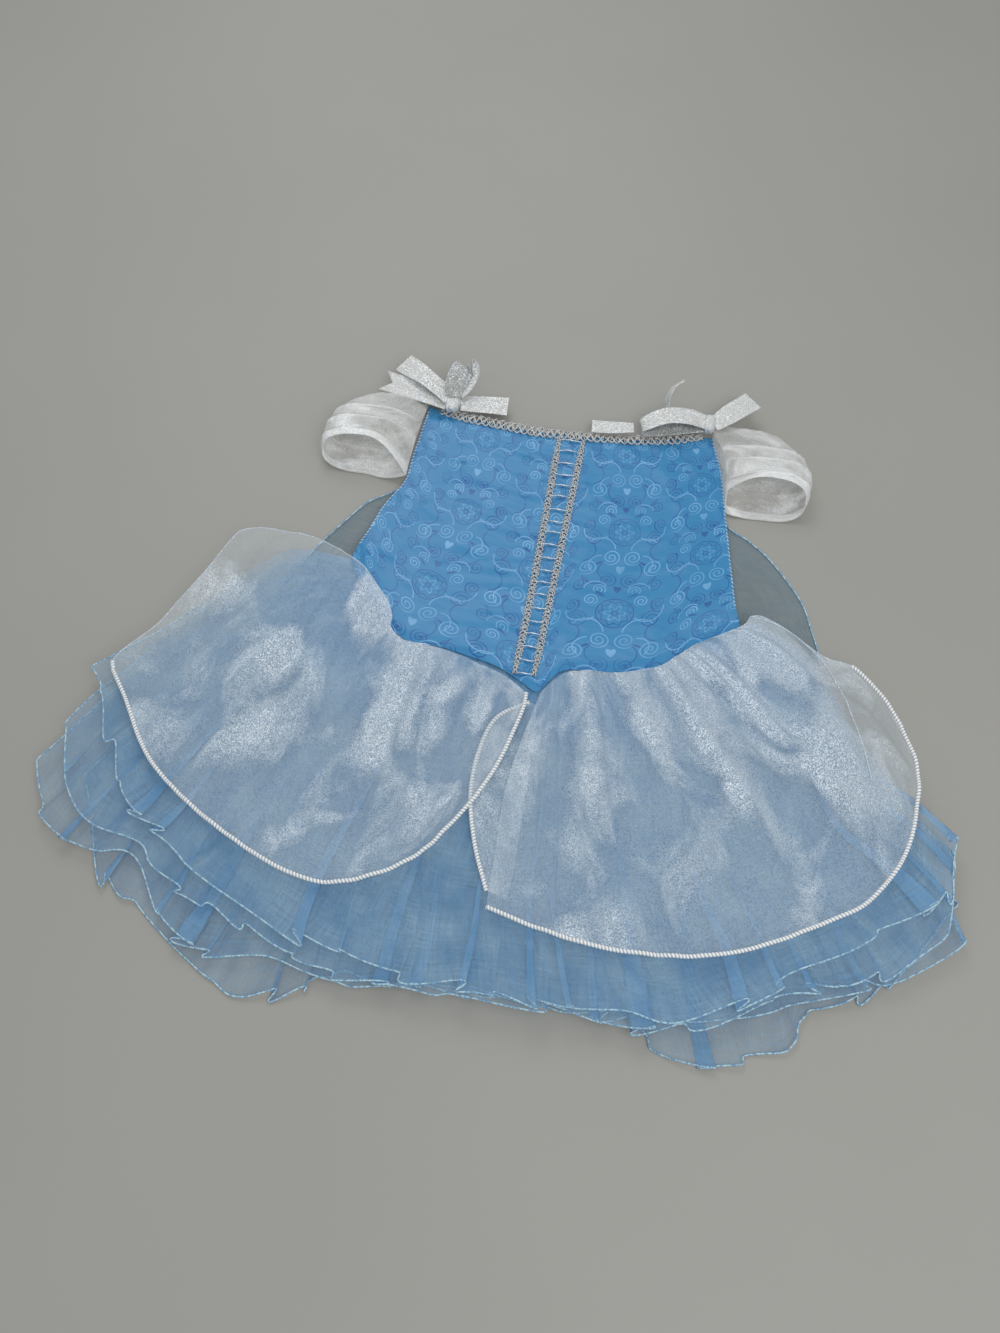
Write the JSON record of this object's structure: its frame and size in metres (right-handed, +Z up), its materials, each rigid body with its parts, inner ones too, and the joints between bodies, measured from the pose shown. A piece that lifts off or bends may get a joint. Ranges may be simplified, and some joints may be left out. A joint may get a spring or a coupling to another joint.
{
  "type": "princess costume dress, child's, laid flat",
  "caption": "Child's costume dress laid flat: satin bodice with braid trims, off-shoulder organza sleeves, ribbon bows, two organza petals over a layered gathered underskirt.",
  "frame": {"origin": "middle of the dress's length and width, on the table that it lies on", "axes": "+Z up from the table, +X across the dress towards the right of the picture, +Y from the hem to the neckline"},
  "size_m": [0.653, 0.5558, 0.036],
  "materials": {
    "sheer_blue_organza": "sheer, matt",
    "blue_satin": "soft sheen",
    "printed_blue_satin": "soft sheen, tonal scroll print",
    "blue_organza": "sheer, matt",
    "white_glitter_organza": "sheer, glittering",
    "white_sleeve_organza": "sheer, glittering",
    "silver_braid": "metallic thread",
    "silver_ribbon": "silver glitter"
  },
  "bodies": {
    "root": {"cape": "sheer_blue_organza", "bodice_back": "blue_satin", "bodice_front": "printed_blue_satin", "underskirt_back_outer": "blue_organza", "underskirt_back_inner": "blue_organza", "underskirt_front_inner": "blue_organza", "underskirt_front_outer": "blue_organza", "petal_left": "white_glitter_organza", "petal_right": "white_glitter_organza", "petal_right_turned_edge": "white_glitter_organza", "sleeve_left": "white_sleeve_organza", "sleeve_right": "white_sleeve_organza", "neck_braid": "silver_braid", "front_lacing": "silver_braid", "bow_left_knot": "silver_ribbon", "bow_left_loop": "silver_ribbon", "bow_left_tail_side": "silver_ribbon", "bow_left_tail_upper": "silver_ribbon", "bow_left_tail_inner": "silver_ribbon", "bow_right_knot": "silver_ribbon", "bow_right_loop": "silver_ribbon", "bow_right_tail_outer": "silver_ribbon", "bow_right_tail_rising": "silver_ribbon", "bow_right_end_folded": "silver_ribbon"}
  },
  "joints": []
}
